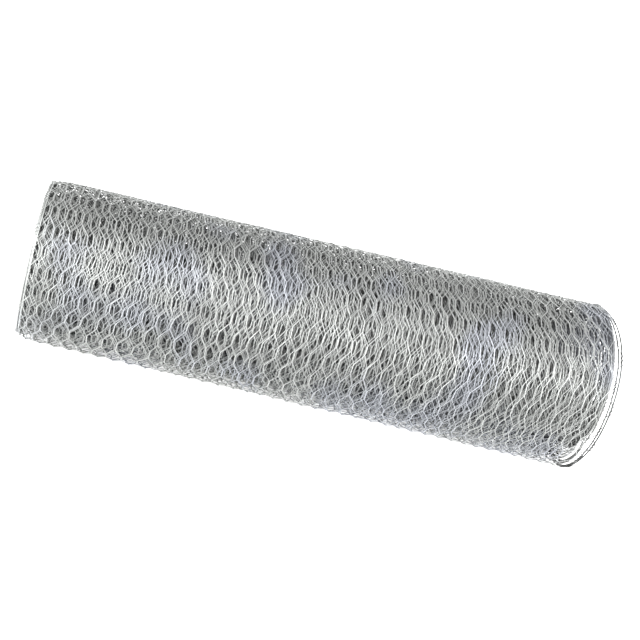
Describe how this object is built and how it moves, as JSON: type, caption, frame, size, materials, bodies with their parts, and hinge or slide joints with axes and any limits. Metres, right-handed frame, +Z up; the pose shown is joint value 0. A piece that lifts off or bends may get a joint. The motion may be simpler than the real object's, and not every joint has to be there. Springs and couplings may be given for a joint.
{
  "type": "roll of wire netting",
  "caption": "Roll of galvanised hexagonal wire netting, wound turn over turn round an open bore and slightly conical, sold to be cut to length for fences, cages and plant guards.",
  "frame": {"origin": "on the floor under the middle of the lying roll", "axes": "+X along the roll on the floor toward its wide end, +Z up; the roll's own axis leans up toward +X by about 1 degree"},
  "size_m": [0.5026, 0.154, 0.154],
  "materials": {
    "galvanised_wire": "hot-dip galvanised steel wire, light silvery grey and half dull"
  },
  "bodies": {
    "root": {"rolled_netting": "galvanised_wire"}
  },
  "joints": []
}
